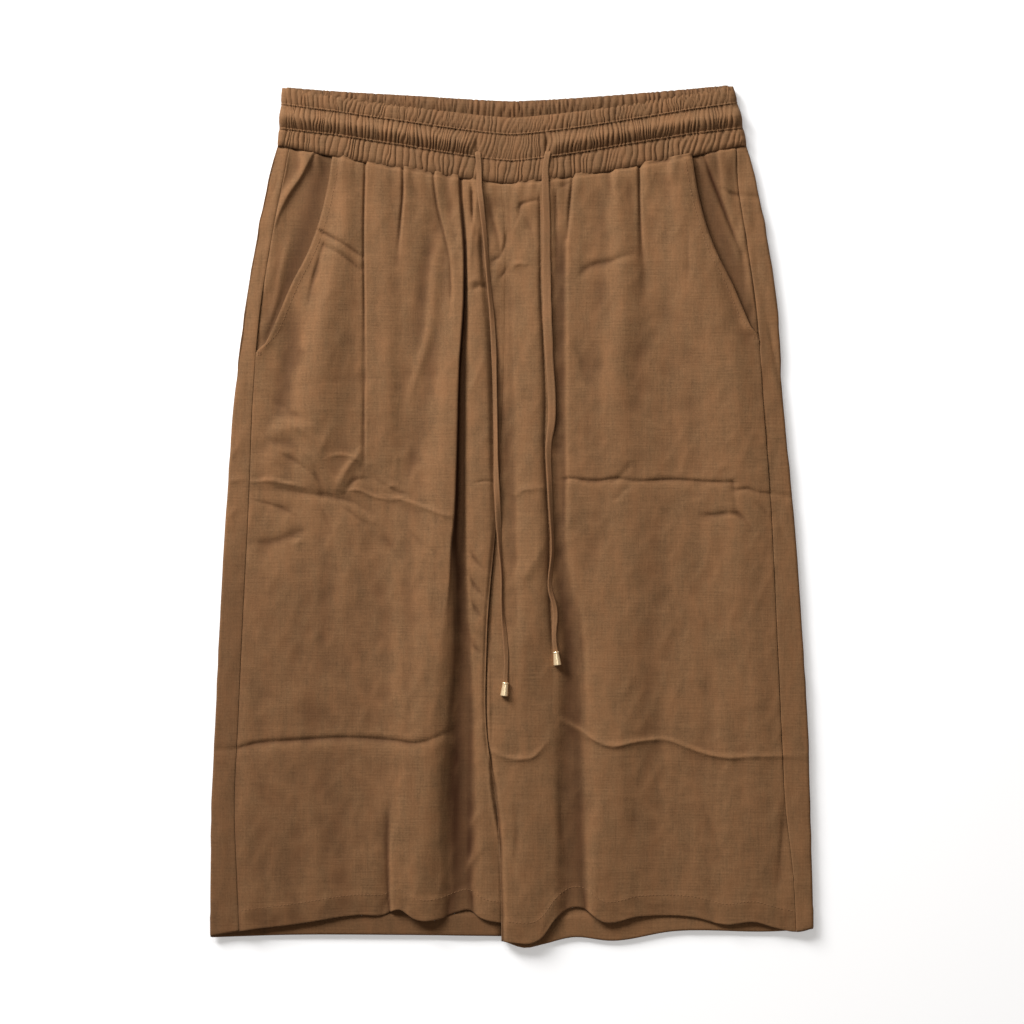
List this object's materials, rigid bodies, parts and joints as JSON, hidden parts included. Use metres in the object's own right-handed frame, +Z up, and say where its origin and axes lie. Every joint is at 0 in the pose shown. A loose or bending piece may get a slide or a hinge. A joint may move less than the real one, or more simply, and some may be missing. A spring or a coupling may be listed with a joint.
{
  "type": "pair of culottes laid flat",
  "caption": "Wide cropped pull-on trousers lying flat, front up: gathered waistband, pleated fronts, slant pockets and a tie with metal ends.",
  "frame": {"origin": "on the surface the garment lies on, below the middle of its outline", "axes": "+Y runs up the garment from the hems to the waist, +Z up from the surface through the back to the front, +X to the right as it is looked down on"},
  "size_m": [0.5123, 0.7329, 0.0136],
  "materials": {
    "panel_cloth": "plain-weave linen and viscose, matte, tan brown, softly creased",
    "band_cloth": "the same cloth, gathered in fine upright folds over elastic",
    "tie_cloth": "flat folded tie of the same cloth",
    "aglet_metal": "polished pale gold"
  },
  "bodies": {
    "root": {"back_left": "panel_cloth", "back_right": "panel_cloth", "front_left": "panel_cloth", "front_right": "panel_cloth", "pocket_facing_left": "panel_cloth", "pocket_facing_right": "panel_cloth", "waistband": "band_cloth", "drawstring_left": "tie_cloth", "drawstring_right": "tie_cloth", "aglet_left": "aglet_metal", "aglet_right": "aglet_metal"}
  },
  "joints": []
}
